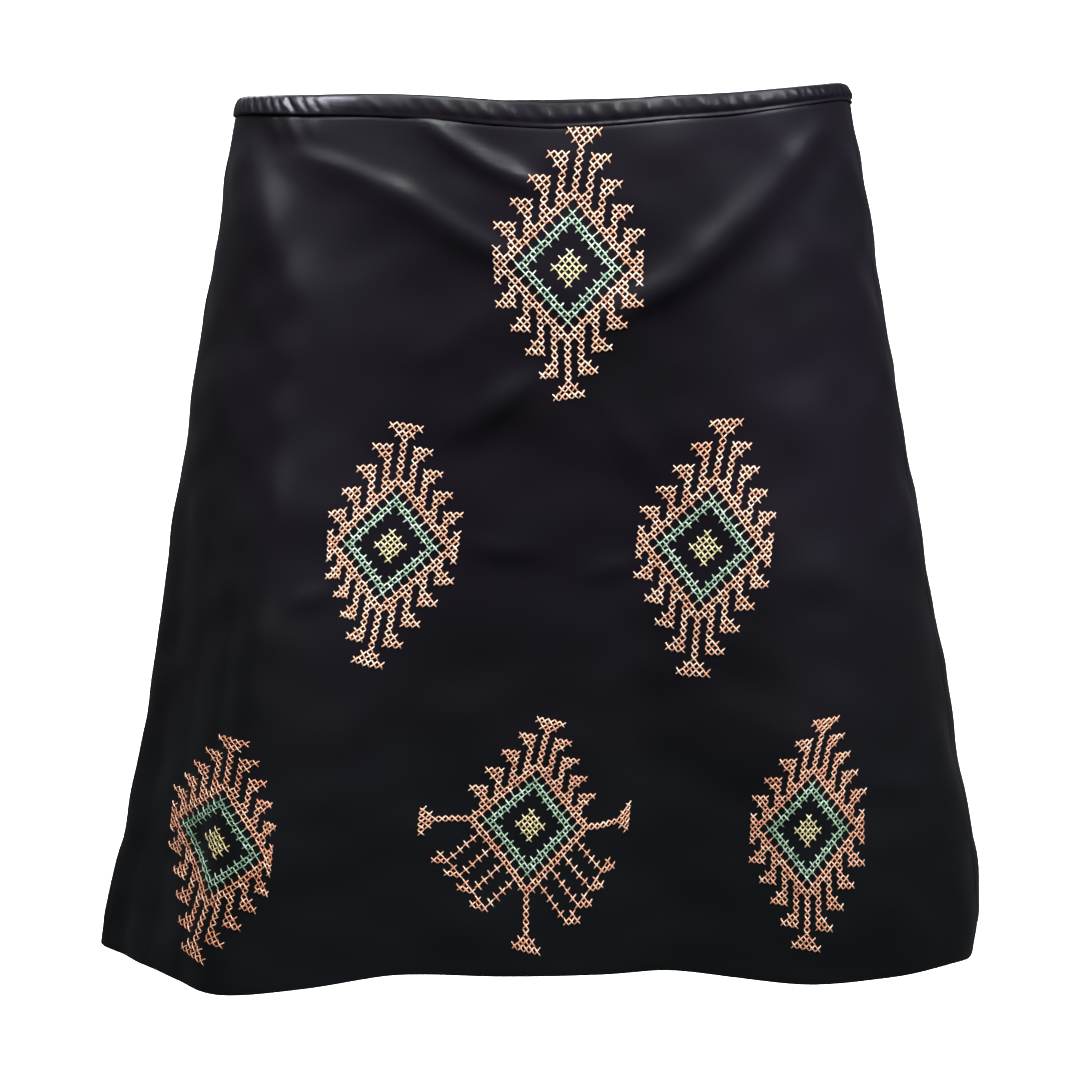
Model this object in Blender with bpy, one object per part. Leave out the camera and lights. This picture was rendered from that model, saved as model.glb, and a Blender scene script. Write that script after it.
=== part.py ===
"""Embroidered A-line skirt, filled out with nobody in it.

A hollow tube of black satin that flares from a narrow waistband to a fluted
hem. One front piece, two back pieces that meet at a concealed zip, a rolled
waistband, and the zip's slider and pull tab. Units are metres, +Z is up, the
front faces -Y, and the origin is the middle of the waist opening, level with
the top of the waistband.
"""

import math

import bmesh
import bpy
from mathutils import Vector

# Sizes of the skirt
LENGTH = 0.453
CLOTH = 0.0016
HEM_TURN = 0.0110
HEM_WALL = 0.0026
BAND_WALL = 0.0026
BAND_PROUD = 0.0006
SEAM_GAP = 0.0003

# Where the seams run, as angles round the skirt from the centre front.
# Positive angles go towards +X, which is the wearer's left side.
SEAM_LEFT = -86.0
SEAM_RIGHT = 80.0
SEAM_BACK = 180.0

# Concealed zip at the centre back
ZIP_TOP = 0.0170
NOTCH_END = 0.0290
NOTCH_HALF = 0.0011
NECK_WIDTH = 0.0012
CROWN_WIDTH = 0.0040
CROWN_HEIGHT = 0.0080
CROWN_THICK = 0.0012
PLATE_WIDTH = 0.0058
PIN_RADIUS = 0.0006
PIN_OUT = 0.0030
LUG_THICK = 0.0007
KNUCKLE_WIDTH = 0.0018
KNUCKLE_RADIUS = 0.0016
KNUCKLE_BORE = 0.0009
PULL_LENGTH = 0.0150
PULL_WIDTH = 0.0052
PULL_THICK = 0.0010

# Sections: drop below the waist, reach to each side, depth to front and back
SECTION_COLUMNS = ("drop", "left", "right", "front", "back")
SECTIONS = (
    (0.000, 0.1600, 0.1600, 0.0960, 0.0980),
    (0.035, 0.1655, 0.1660, 0.1000, 0.1020),
    (0.080, 0.1730, 0.1740, 0.1020, 0.1060),
    (0.160, 0.1865, 0.1875, 0.1030, 0.1095),
    (0.245, 0.1990, 0.2025, 0.1040, 0.1120),
    (0.330, 0.2115, 0.2175, 0.1050, 0.1140),
    (0.395, 0.2250, 0.2295, 0.1055, 0.1155),
    (0.430, 0.2335, 0.2335, 0.1055, 0.1160),
    (0.453, 0.2380, 0.2315, 0.1055, 0.1165),
)

# Flutes: angle round the skirt, and how far the hem is pushed outwards there.
# They fade in between two shares of the length.
FLUTE_COLUMNS = ("angle", "push")
FLUTES = (
    (-120.0, 0.005),
    (-104.0, -0.004),
    (-88.0, 0.000),
    (-74.0, -0.007),
    (-61.0, -0.001),
    (-50.0, 0.014),
    (-40.0, 0.031),
    (-30.0, 0.010),
    (-20.0, -0.020),
    (-6.0, -0.028),
    (8.0, -0.029),
    (17.0, -0.033),
    (26.0, -0.015),
    (36.0, 0.008),
    (48.0, 0.011),
    (62.0, 0.005),
    (78.0, 0.001),
    (90.0, 0.000),
    (102.0, -0.004),
    (116.0, 0.008),
    (132.0, -0.006),
    (149.0, 0.009),
    (166.0, -0.007),
    (184.0, 0.006),
    (202.0, -0.008),
    (221.0, 0.010),
)
FLUTE_START = 0.10
FLUTE_FULL = 0.86

# The waistband: angle, height of its top edge over the origin, its own height
BAND_COLUMNS = ("angle", "top", "height")
BAND = (
    (-90.0, -0.0014, 0.0092),
    (-72.0, 0.0008, 0.0094),
    (-49.0, 0.0014, 0.0102),
    (-31.0, 0.0020, 0.0110),
    (-19.0, 0.0010, 0.0116),
    (-8.0, -0.0010, 0.0122),
    (2.0, -0.0020, 0.0126),
    (11.0, -0.0011, 0.0122),
    (22.0, 0.0010, 0.0118),
    (36.0, 0.0026, 0.0110),
    (49.0, 0.0048, 0.0100),
    (61.0, 0.0066, 0.0092),
    (74.0, 0.0074, 0.0086),
    (90.0, 0.0052, 0.0088),
    (120.0, 0.0030, 0.0100),
    (150.0, 0.0000, 0.0110),
    (180.0, -0.0020, 0.0112),
    (210.0, -0.0022, 0.0110),
    (240.0, -0.0024, 0.0100),
)

# The hem's edge: angle, how far it stands over the level of the hem
HEM_COLUMNS = ("angle", "rise")
HEM = (
    (-90.0, 0.0022),
    (-74.0, 0.0006),
    (-58.0, -0.0002),
    (-43.0, -0.0018),
    (-33.0, -0.0010),
    (-19.0, 0.0014),
    (-5.0, 0.0004),
    (12.0, 0.0010),
    (19.0, 0.0016),
    (34.0, -0.0004),
    (50.0, 0.0000),
    (66.0, 0.0000),
    (78.0, -0.0010),
    (90.0, 0.0030),
    (130.0, 0.0010),
    (180.0, 0.0000),
    (225.0, 0.0010),
)

# Mesh steps
FRONT_STEPS = 72
BACK_STEPS = 34
BAND_STEPS = 132
ROW_STEPS = 21


def clear_scene():
    for thing in list(bpy.data.objects):
        bpy.data.objects.remove(thing, do_unlink=True)


def smooth(amount):
    amount = min(max(amount, 0.0), 1.0)
    return amount * amount * (3.0 - 2.0 * amount)


def cubic(before, start, end, after, amount):
    """Catmull-Rom blend of four neighbouring values."""
    square = amount * amount
    cube = square * amount
    return 0.5 * (
        2.0 * start
        + (end - before) * amount
        + (2.0 * before - 5.0 * start + 4.0 * end - after) * square
        + (3.0 * start - before - 3.0 * end + after) * cube
    )


def along(rows, place, column):
    """Value of one column at a place, the rows being sorted by their first."""
    last = len(rows) - 1
    place = min(max(place, rows[0][0]), rows[last][0])
    index = 0
    while index < last - 1 and place > rows[index + 1][0]:
        index += 1
    low = rows[index]
    high = rows[index + 1]
    before = rows[max(index - 1, 0)]
    after = rows[min(index + 2, last)]
    amount = (place - low[0]) / (high[0] - low[0])
    return cubic(before[column], low[column], high[column], after[column], amount)


def around(rows, angle, column):
    """Value of one column at an angle, the rows going once round the skirt."""
    count = len(rows)
    first = rows[0][0]
    angle = first + (angle - first) % 360.0
    index = 0
    while index < count - 1 and angle > rows[index + 1][0]:
        index += 1
    low = rows[index]
    high = rows[(index + 1) % count]
    before = rows[(index - 1) % count]
    after = rows[(index + 2) % count]
    span = (high[0] - low[0]) % 360.0
    amount = ((angle - low[0]) % 360.0) / span
    return cubic(before[column], low[column], high[column], after[column], amount)


def section(angle, drop):
    """The plain oval of the skirt, with no flutes."""
    turn = math.radians(angle)
    side = "left" if math.sin(turn) < 0.0 else "right"
    face = "front" if math.cos(turn) > 0.0 else "back"
    reach = along(SECTIONS, drop, SECTION_COLUMNS.index(side))
    depth = along(SECTIONS, drop, SECTION_COLUMNS.index(face))
    return reach, depth, turn


def surface(angle, drop, out=0.0):
    """A point on the outer face of the cloth, moved outwards by out."""
    reach, depth, turn = section(angle, drop)
    flat = Vector((math.sin(turn) / reach, -math.cos(turn) / depth, 0.0)).normalized()
    share = smooth((drop / LENGTH - FLUTE_START) / (FLUTE_FULL - FLUTE_START))
    push = around(FLUTES, angle, FLUTE_COLUMNS.index("push")) * share
    down = min(max(drop / LENGTH, 0.0), 1.0)
    top = around(BAND, angle, BAND_COLUMNS.index("top"))
    foot = around(HEM, angle, HEM_COLUMNS.index("rise"))
    height = -drop + top * (1.0 - down) + foot * down
    point = Vector((reach * math.sin(turn), -depth * math.cos(turn), height))
    point += flat * push
    if out:
        point += facing(angle, drop) * out
    return point


def facing(angle, drop):
    """Direction straight out of the cloth."""
    sideways = surface(angle + 0.05, drop) - surface(angle - 0.05, drop)
    upper = min(max(drop, 0.0005), LENGTH - 0.0005)
    upwards = surface(angle, upper - 0.0005) - surface(angle, upper + 0.0005)
    return sideways.cross(upwards).normalized()


def spread(angle, drop):
    """Length of cloth that one degree covers."""
    return (surface(angle + 0.5, drop) - surface(angle - 0.5, drop)).length


def band_foot(angle):
    """Drop of the waistband's lower edge, on the skirt's own scale of drop."""
    height = around(BAND, angle, BAND_COLUMNS.index("height"))
    top = around(BAND, angle, BAND_COLUMNS.index("top"))
    foot = around(HEM, angle, HEM_COLUMNS.index("rise"))
    return height / (1.0 + (top - foot) / LENGTH)


def edge_gap(drop, at_zip):
    """Half the gap that a panel leaves at a seam."""
    if not at_zip:
        return SEAM_GAP / 2.0
    open_share = 1.0 - smooth((drop - NOTCH_END + 0.003) / 0.003)
    return SEAM_GAP / 2.0 + NOTCH_HALF * open_share


def collect(name):
    group = bpy.data.collections.new(name)
    bpy.context.scene.collection.children.link(group)
    return group


def cloth_material(name, colour, rough):
    material = bpy.data.materials.new(name)
    material.use_nodes = True
    shader = material.node_tree.nodes["Principled BSDF"]
    shader.inputs["Base Color"].default_value = (*colour, 1.0)
    shader.inputs["Roughness"].default_value = rough
    return material


def metal_material(name, colour, rough):
    material = cloth_material(name, colour, rough)
    shader = material.node_tree.nodes["Principled BSDF"]
    shader.inputs["Metallic"].default_value = 1.0
    return material


def place(name, bm, group, material, sharp=50.0):
    """Close the mesh into an object with smooth faces and sharp folds."""
    bm.normal_update()
    bmesh.ops.recalc_face_normals(bm, faces=bm.faces)
    limit = math.radians(sharp)
    for face in bm.faces:
        face.smooth = True
    for edge in bm.edges:
        edge.smooth = edge.calc_face_angle(0.0) < limit
    mesh = bpy.data.meshes.new(name)
    bm.to_mesh(mesh)
    bm.free()
    thing = bpy.data.objects.new(name, mesh)
    mesh.materials.append(material)
    group.objects.link(thing)
    return thing


def wall(columns, rows, outer, inner):
    """Two grids, mapped to the outer and the inner face, joined round the rim."""
    bm = bmesh.new()
    loops = []
    for mapping in (outer, inner):
        made = bmesh.ops.create_grid(bm, x_segments=columns, y_segments=rows, size=0.5)
        verts = set(made["verts"])
        for edge in bm.edges:
            if edge.verts[0] in verts and edge.is_boundary:
                loops.append(edge)
        for vert in made["verts"]:
            vert.co = mapping(vert.co.x + 0.5, vert.co.y + 0.5)
    bmesh.ops.bridge_loops(bm, edges=loops)
    return bm


def panel(name, start, end, steps, zip_start, zip_end, group, material):
    """One flared piece of cloth between two seams, with its hem turn."""
    turn_row = 1.0 - 2.0 / ROW_STEPS

    def spot(across, up, inside):
        down = 1.0 - up
        share = min(down / turn_row, 1.0)
        angle = start + (end - start) * across
        drop = 0.0
        for _ in range(2):
            first = band_foot(angle) + SEAM_GAP
            last = LENGTH - HEM_TURN
            drop = first + (last - first) * share
            if down > turn_row:
                extra = (down - turn_row) / (1.0 - turn_row)
                step = min(extra * 2.0, 1.0) * 0.0006
                rest = max(extra * 2.0 - 1.0, 0.0) * (HEM_TURN - 0.0006)
                drop = last + step + rest
            low_gap = edge_gap(drop, zip_start) / spread(start, drop)
            high_gap = edge_gap(drop, zip_end) / spread(end, drop)
            edge_low = start + low_gap
            edge_high = end - high_gap
            angle = edge_low + (edge_high - edge_low) * across
        out = 0.0
        if inside:
            out = -CLOTH
            if down > turn_row + 0.25 / ROW_STEPS:
                out = -HEM_WALL
        return surface(angle, drop, out)

    bm = wall(
        steps,
        ROW_STEPS,
        lambda across, up: spot(across, up, False),
        lambda across, up: spot(across, up, True),
    )
    return place(name, bm, group, material)


def waistband(group, material):
    """A narrow strip round the waist, its two ends meeting at the zip."""
    start = SEAM_BACK - 360.0
    end = SEAM_BACK
    profile = 4

    def spot(across, up, inside):
        gap = SEAM_GAP / 2.0 / spread(SEAM_BACK, 0.005)
        angle = start + gap + (end - start - 2.0 * gap) * across
        drop = band_foot(angle) * (1.0 - up)
        round_off = math.sin(math.pi * min(max(up, 0.0), 1.0)) ** 0.5
        swell = BAND_PROUD * round_off
        out = swell if not inside else -BAND_WALL + BAND_PROUD
        return surface(angle, drop, out)

    bm = wall(
        BAND_STEPS,
        profile,
        lambda across, up: spot(across, up, False),
        lambda across, up: spot(across, up, True),
    )
    return place("waistband", bm, group, material, 40.0)


def zip_frame():
    """Middle of the slider on the cloth, the way out of it and the way up it."""
    drop = ZIP_TOP + CROWN_HEIGHT / 2.0
    centre = surface(SEAM_BACK, drop)
    outward = facing(SEAM_BACK, drop)
    outward.x = 0.0
    outward.normalize()
    upward = Vector((1.0, 0.0, 0.0)).cross(outward)
    if upward.z < 0.0:
        upward = -upward
    return centre, outward, upward


def block(bm, centre, outward, upward, size, lift, raise_by=0.0, side=0.0):
    """Box with its sides along the zip's own directions."""
    made = bmesh.ops.create_cube(bm, size=1.0)
    for vert in made["verts"]:
        across, up, out = vert.co.x * size[0], vert.co.y * size[1], vert.co.z * size[2]
        vert.co = (
            centre
            + Vector((1.0, 0.0, 0.0)) * (across + side)
            + upward * (up + raise_by)
            + outward * (out + lift)
        )
    return made


def rod(bm, centre, width, radius, sides):
    """Short round bar lying across the skirt."""
    made = bmesh.ops.create_cone(
        bm,
        cap_ends=True,
        segments=sides,
        radius1=radius,
        radius2=radius,
        depth=width,
    )
    for vert in made["verts"]:
        vert.co = centre + Vector((vert.co.z, vert.co.x, vert.co.y))
    return made


def raw_object(name, bm, group, origin=None):
    bm.normal_update()
    bmesh.ops.recalc_face_normals(bm, faces=bm.faces)
    if origin is not None:
        bmesh.ops.translate(bm, verts=bm.verts, vec=-origin)
    mesh = bpy.data.meshes.new(name)
    bm.to_mesh(mesh)
    bm.free()
    thing = bpy.data.objects.new(name, mesh)
    if origin is not None:
        thing.location = origin
    group.objects.link(thing)
    return thing


def combine(thing, other, operation):
    """Boolean with a helper, which stays out of the finished piece."""
    other.hide_render = True
    other.display_type = "WIRE"
    step = thing.modifiers.new(other.name, "BOOLEAN")
    step.operation = operation
    step.solver = "EXACT"
    step.object = other


def pin_centre():
    centre, outward, upward = zip_frame()
    return centre + outward * (PIN_OUT + CROWN_THICK) + upward * 0.0010


def slider(group, helpers, material):
    """Inner plate, neck, crown, two lugs and the pin that holds the pull."""
    centre, outward, upward = zip_frame()
    reach_in = CLOTH + SEAM_GAP + CROWN_THICK / 2.0
    crown_lift = 2.0 * SEAM_GAP + CROWN_THICK / 2.0
    bm = bmesh.new()
    block(bm, centre, outward, upward, (CROWN_WIDTH, CROWN_HEIGHT, CROWN_THICK), crown_lift)
    body = raw_object("zip_slider", bm, group, centre)
    body.data.materials.append(material)

    bm = bmesh.new()
    size = (PLATE_WIDTH, CROWN_HEIGHT * 0.98, CROWN_THICK)
    block(bm, centre, outward, upward, size, -reach_in - SEAM_GAP)
    combine(body, raw_object("slider_plate", bm, helpers), "UNION")

    bm = bmesh.new()
    neck = crown_lift + reach_in + SEAM_GAP
    size = (NECK_WIDTH, CROWN_HEIGHT * 0.6, neck)
    block(bm, centre, outward, upward, size, (crown_lift - reach_in - SEAM_GAP) / 2.0)
    combine(body, raw_object("slider_neck", bm, helpers), "UNION")

    pin = pin_centre()
    lug_side = KNUCKLE_WIDTH / 2.0 + SEAM_GAP + LUG_THICK / 2.0
    lug_height = PIN_OUT + CROWN_THICK + 0.0010 - crown_lift
    for label, side in (("lug_low", -lug_side), ("lug_high", lug_side)):
        bm = bmesh.new()
        size = (LUG_THICK, 0.0030, lug_height)
        block(bm, centre, outward, upward, size, crown_lift + lug_height / 2.0, 0.0010, side)
        combine(body, raw_object(label, bm, helpers), "UNION")

    bm = bmesh.new()
    rod(bm, pin, 2.0 * lug_side + LUG_THICK * 0.6, PIN_RADIUS, 20)
    combine(body, raw_object("slider_pin", bm, helpers), "UNION")
    return body


def pull(group, helpers, material):
    """Knuckle round the pin and a teardrop tab that hangs from it.

    The object's origin is on the pin, which is the axis that the tab swings on.
    """
    pin = pin_centre()
    bm = bmesh.new()
    rod(bm, pin, KNUCKLE_WIDTH, KNUCKLE_RADIUS, 28)
    body = raw_object("zip_pull", bm, group, pin)
    body.data.materials.append(material)

    steps = 24
    bm = bmesh.new()
    made = bmesh.ops.create_circle(bm, cap_ends=True, segments=steps, radius=0.5)
    for vert in made["verts"]:
        low = 0.5 - vert.co.y
        width = PULL_WIDTH * (0.30 + 0.70 * smooth(low * 1.4))
        vert.co = Vector((vert.co.x * width, -PULL_THICK / 2.0, -low * PULL_LENGTH))
    lifted = bmesh.ops.extrude_face_region(bm, geom=bm.faces[:])
    for item in lifted["geom"]:
        if isinstance(item, bmesh.types.BMVert):
            item.co.y += PULL_THICK
    for vert in bm.verts:
        vert.co += pin
    combine(body, raw_object("pull_tab", bm, helpers), "UNION")

    bm = bmesh.new()
    rod(bm, pin, KNUCKLE_WIDTH * 2.0, KNUCKLE_BORE, 28)
    combine(body, raw_object("pull_bore", bm, helpers), "DIFFERENCE")
    return body


def main():
    clear_scene()
    group = collect("embroidered_skirt")
    helpers = collect("helpers")
    satin = cloth_material("black_satin_front", (0.010, 0.009, 0.012), 0.42)
    satin_left = cloth_material("black_satin_back_left", (0.010, 0.009, 0.012), 0.42)
    satin_right = cloth_material("black_satin_back_right", (0.010, 0.009, 0.012), 0.42)
    binding = cloth_material("black_satin_band", (0.014, 0.014, 0.017), 0.38)
    dark_metal = metal_material("black_slider_metal", (0.030, 0.030, 0.034), 0.40)
    tab_metal = metal_material("black_pull_metal", (0.030, 0.030, 0.034), 0.36)

    panel("front_panel", SEAM_LEFT, SEAM_RIGHT, FRONT_STEPS, False, False, group, satin)
    panel("back_panel_left", SEAM_RIGHT, SEAM_BACK, BACK_STEPS, False, True, group, satin_left)
    panel(
        "back_panel_right",
        SEAM_BACK - 360.0,
        SEAM_LEFT,
        BACK_STEPS,
        True,
        False,
        group,
        satin_right,
    )
    waistband(group, binding)
    slider(group, helpers, dark_metal)
    pull(group, helpers, tab_metal)


main()
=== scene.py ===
"""Looks of the embroidered A-line skirt.

Black satin, a rolled waistband and cross-stitched medallions. The cloth is laid over
the solids' own form, with its folds placed in millimetres.
The front faces -Y, +X is to the right of the picture, and the origin is the middle of the waist.
"""

import math

import bmesh
import bpy
import numpy as np
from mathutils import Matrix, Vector


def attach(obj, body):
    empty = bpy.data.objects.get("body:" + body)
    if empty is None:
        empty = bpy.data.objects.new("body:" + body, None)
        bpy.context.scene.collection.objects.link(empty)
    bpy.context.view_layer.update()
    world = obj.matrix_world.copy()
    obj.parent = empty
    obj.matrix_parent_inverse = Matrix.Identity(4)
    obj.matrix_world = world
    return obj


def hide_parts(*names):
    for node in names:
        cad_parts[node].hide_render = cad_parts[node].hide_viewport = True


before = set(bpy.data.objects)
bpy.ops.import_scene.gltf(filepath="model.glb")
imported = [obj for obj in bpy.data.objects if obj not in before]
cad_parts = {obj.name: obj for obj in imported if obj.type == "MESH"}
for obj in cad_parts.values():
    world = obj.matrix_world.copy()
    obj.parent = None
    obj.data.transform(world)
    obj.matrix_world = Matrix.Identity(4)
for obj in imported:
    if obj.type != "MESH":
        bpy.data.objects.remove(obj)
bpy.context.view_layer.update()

MM = 0.001

# Length of the skirt in metres, and its seams as angles from the centre front, as its solids
# have them
LENGTH = 0.453
SEAM_LEFT = -86.0
SEAM_RIGHT = 80.0
SEAM_BACK = 180.0

# Thickness of the cloth that shows, and the mean radius of the skirt, both in metres
SATIN = 0.00045
MEAN_RADIUS = 0.150

# Zip, in drops from the waist in metres: where its tapes start and end, the foot of its slider,
# and where its closed coil starts
TAPE_TOP = 0.0125
TAPE_END = 0.180
SLIDER_FOOT = 0.0300
COIL_TOP = 0.0340

# How wide a tape shows, and how far apart the coil's loops are
TAPE_WIDTH = 0.0110
COIL_PITCH = 0.00090

# Girth of the waistband, and how far its puckers are spaced, in millimetres
BAND_GIRTH = 818.0
PUCKER_SPACING = (4.5, 10.0)

# A cross stitch, in millimetres: half the thickness of a strand, how high the first strand lies
# and its arch, the same for the second, which lies over it, and how far the ends dip
STRAND_THICK = 0.30
FIRST_STRAND = (0.24, 0.06)
SECOND_STRAND = (0.30, 0.42)
STRAND_DIP = 0.45

# How far apart the copies of a small mesh stand before each is laid in its place
COPY_SPACING = 3.0

# Sections: drop below the waist, reach to each side, depth to front and back
SECTIONS = (
    (0.000, 0.1600, 0.1600, 0.0960, 0.0980),
    (0.035, 0.1655, 0.1660, 0.1000, 0.1020),
    (0.080, 0.1730, 0.1740, 0.1020, 0.1060),
    (0.160, 0.1865, 0.1875, 0.1030, 0.1095),
    (0.245, 0.1990, 0.2025, 0.1040, 0.1120),
    (0.330, 0.2115, 0.2175, 0.1050, 0.1140),
    (0.395, 0.2250, 0.2295, 0.1055, 0.1155),
    (0.430, 0.2335, 0.2335, 0.1055, 0.1160),
    (0.453, 0.2380, 0.2315, 0.1055, 0.1165),
)

# Flutes: angle round the skirt from the centre front, and the push outwards at the hem
FLUTES = (
    (-120.0, 0.005),
    (-104.0, -0.004),
    (-88.0, 0.000),
    (-74.0, -0.007),
    (-61.0, -0.001),
    (-50.0, 0.014),
    (-40.0, 0.031),
    (-30.0, 0.010),
    (-20.0, -0.020),
    (-6.0, -0.028),
    (8.0, -0.029),
    (17.0, -0.033),
    (26.0, -0.015),
    (36.0, 0.008),
    (48.0, 0.011),
    (62.0, 0.005),
    (78.0, 0.001),
    (90.0, 0.000),
    (102.0, -0.004),
    (116.0, 0.008),
    (132.0, -0.006),
    (149.0, 0.009),
    (166.0, -0.007),
    (184.0, 0.006),
    (202.0, -0.008),
    (221.0, 0.010),
)

# Shares of the length at which the flutes start and are full
FLUTE_START = 0.10
FLUTE_FULL = 0.86

# Waistband: angle, height of its top edge over the origin, its own height
BAND = (
    (-90.0, -0.0014, 0.0092),
    (-72.0, 0.0008, 0.0094),
    (-49.0, 0.0014, 0.0102),
    (-31.0, 0.0020, 0.0110),
    (-19.0, 0.0010, 0.0116),
    (-8.0, -0.0010, 0.0122),
    (2.0, -0.0020, 0.0126),
    (11.0, -0.0011, 0.0122),
    (22.0, 0.0010, 0.0118),
    (36.0, 0.0026, 0.0110),
    (49.0, 0.0048, 0.0100),
    (61.0, 0.0066, 0.0092),
    (74.0, 0.0074, 0.0086),
    (90.0, 0.0052, 0.0088),
    (120.0, 0.0030, 0.0100),
    (150.0, 0.0000, 0.0110),
    (180.0, -0.0020, 0.0112),
    (210.0, -0.0022, 0.0110),
    (240.0, -0.0024, 0.0100),
)

# Hem: angle, and how far its edge stands over the level of the hem
HEM = (
    (-90.0, 0.0022),
    (-74.0, 0.0006),
    (-58.0, -0.0002),
    (-43.0, -0.0018),
    (-33.0, -0.0010),
    (-19.0, 0.0014),
    (-5.0, 0.0004),
    (12.0, 0.0010),
    (19.0, 0.0016),
    (34.0, -0.0004),
    (50.0, 0.0000),
    (66.0, 0.0000),
    (78.0, -0.0010),
    (90.0, 0.0030),
    (130.0, 0.0010),
    (180.0, 0.0000),
    (225.0, 0.0010),
)

# Folds of the front, seen from straight ahead. Each is a row of stations:
# across and down from the origin, height of the ridge (a trough is negative),
# and the width of its upper and its lower flank, all in millimetres.
FRONT_FOLDS = (
    # long ridge that drops from the left end of the waistband
    ((-156, 17, 1.2, 8, 9), (-147, 42, 3.0, 10, 12), (-135, 72, 4.8, 13, 15),
     (-120, 110, 3.6, 17, 19), (-104, 150, 1.4, 21, 24)),
    # drag line from the waistband to the left point of the top medallion
    ((-122, 29, 1.0, 5, 6), (-98, 37, 1.8, 5, 7), (-72, 48, 2.1, 6, 8), (-49, 63, 2.8, 7, 8),
     (-27, 76, 3.2, 7, 7), (-8, 85, 1.9, 6, 7)),
    ((-112, 50, -0.5, 12, 34), (-78, 72, -0.7, 14, 40), (-42, 96, -0.5, 14, 36)),
    # shorter, sharper one above it
    ((-60, 12, 1.6, 6, 5), (-50, 19, 2.7, 6, 5), (-32, 31, 3.1, 6, 5), (-10, 42, 2.8, 6, 5),
     (4, 47, 1.3, 6, 5)),
    ((-48, 34, -1.0, 6, 8), (-24, 47, -1.2, 7, 8)),
    # ridge from the right end of the waistband to the right point of the top medallion
    ((147, 16, 1.3, 8, 7), (124, 37, 2.6, 10, 9), (101, 62, 3.6, 12, 9), (78, 84, 5.0, 13, 8),
     (56, 98, 6.2, 10, 7), (36, 109, 5.1, 10, 6)),
    ((128, 54, -0.6, 10, 18), (104, 80, -0.7, 10, 22), (74, 102, -0.8, 9, 20)),
    # crease where the cloth turns to the side below the right end
    ((144, 16, 0.5, 7, 5), (135, 27, 0.8, 8, 5), (131, 43, 0.4, 9, 7)),
    # side seam, a narrow fullness in front of it
    ((159, 28, 0.5, 5, 4), (164, 50, 0.9, 5, 4), (169, 78, 0.5, 6, 5)),
    # soft fullness under the waistband, right of the middle
    ((6, 22, 0.2, 8, 10), (50, 19, 0.3, 9, 12), (96, 18, 0.3, 9, 12)),
    # small puckers under the left end of the waistband
    ((-139, 13, 0.7, 3, 3), (-135, 19, 0.6, 3, 3)),
    ((-130, 13, 0.8, 3, 3), (-125, 20, 0.6, 4, 3)),
    ((-119, 14, 0.6, 3, 3), (-115, 18, 0.5, 3, 3)),
    # drag lines below the top medallion
    ((-2, 139, 2.2, 8, 6), (-22, 154, 3.4, 10, 7), (-42, 169, 1.7, 12, 8)),
    ((-24, 108, 1.0, 8, 7), (-52, 126, 2.2, 12, 9), (-67, 134, 1.0, 12, 10)),
    ((29, 152, 1.4, 8, 8), (42, 169, 2.5, 10, 9), (55, 188, 1.2, 12, 11)),
    ((-60, 178, -1.4, 16, 18), (-10, 184, -2.0, 20, 22), (30, 198, -1.0, 18, 20)),
    # short pulls beside the two middle medallions
    ((-37, 226, 0.8, 5, 5), (-19, 229, 1.7, 7, 6), (1, 230, 0.7, 7, 7)),
    ((24, 242, 0.8, 5, 5), (37, 238, 1.7, 6, 6), (50, 236, 0.7, 6, 6)),
    ((-128, 256, 0.7, 5, 5), (-118, 252, 1.5, 6, 6), (-108, 249, 0.7, 6, 6)),
    ((118, 240, 0.5, 8, 8), (146, 248, 1.4, 11, 10), (170, 250, 0.7, 12, 12)),
    # slack lines of the lower half
    ((-88, 304, 0.8, 10, 10), (-97, 320, 1.7, 12, 12), (-112, 344, 1.0, 14, 14)),
    ((44, 282, 0.7, 12, 12), (34, 300, 1.7, 14, 14), (24, 330, 0.7, 16, 16)),
    ((168, 349, 0.5, 7, 7), (196, 356, 1.5, 9, 8), (221, 364, 0.7, 9, 9)),
)

# Folds of the back, seen from straight behind, in the same columns
BACK_FOLDS = (
    ((132, 18, 1.7, 12, 10), (112, 46, 3.4, 16, 12), (88, 84, 3.1, 20, 15), (66, 128, 1.3, 24, 22)),
    ((-138, 16, 1.4, 12, 10), (-120, 50, 3.1, 15, 12), (-96, 92, 2.8, 20, 16),
     (-80, 150, 1.1, 24, 24)),
    ((60, 12, 1.1, 8, 6), (44, 24, 2.5, 9, 7), (24, 42, 1.7, 9, 8), (8, 58, 0.8, 9, 8)),
    ((-68, 12, 1.1, 8, 6), (-46, 28, 2.4, 10, 7), (-24, 52, 1.5, 10, 8), (-8, 74, 0.7, 9, 8)),
    ((34, 120, 0.6, 9, 8), (14, 134, 1.7, 10, 8), (3, 140, 0.7, 8, 8)),
    ((-40, 168, 0.7, 10, 9), (-18, 184, 1.5, 11, 9), (-3, 190, 0.7, 9, 9)),
    ((96, 150, -1.1, 18, 20), (60, 196, -2.0, 20, 22), (30, 236, -0.8, 20, 22)),
    ((-110, 170, -1.1, 18, 20), (-84, 226, -1.8, 22, 24), (-60, 280, -0.7, 22, 24)),
    ((130, 230, 0.6, 14, 14), (112, 274, 1.7, 17, 17), (104, 330, 0.8, 18, 18)),
    ((-150, 260, 0.6, 14, 14), (-140, 306, 1.7, 16, 16), (-146, 360, 0.8, 18, 18)),
    ((30, 290, 0.6, 12, 12), (44, 330, 1.5, 15, 15), (40, 376, 0.6, 16, 16)),
    ((-30, 318, 0.6, 12, 12), (-46, 350, 1.3, 14, 14), (-50, 392, 0.6, 16, 16)),
    ((176, 330, 0.6, 10, 10), (190, 366, 1.4, 12, 12), (196, 404, 0.7, 12, 12)),
)


def smooth(amount):
    """An even step from 0 to 1 with soft ends."""
    amount = np.clip(amount, 0.0, 1.0)
    return amount * amount * (3.0 - 2.0 * amount)


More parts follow.
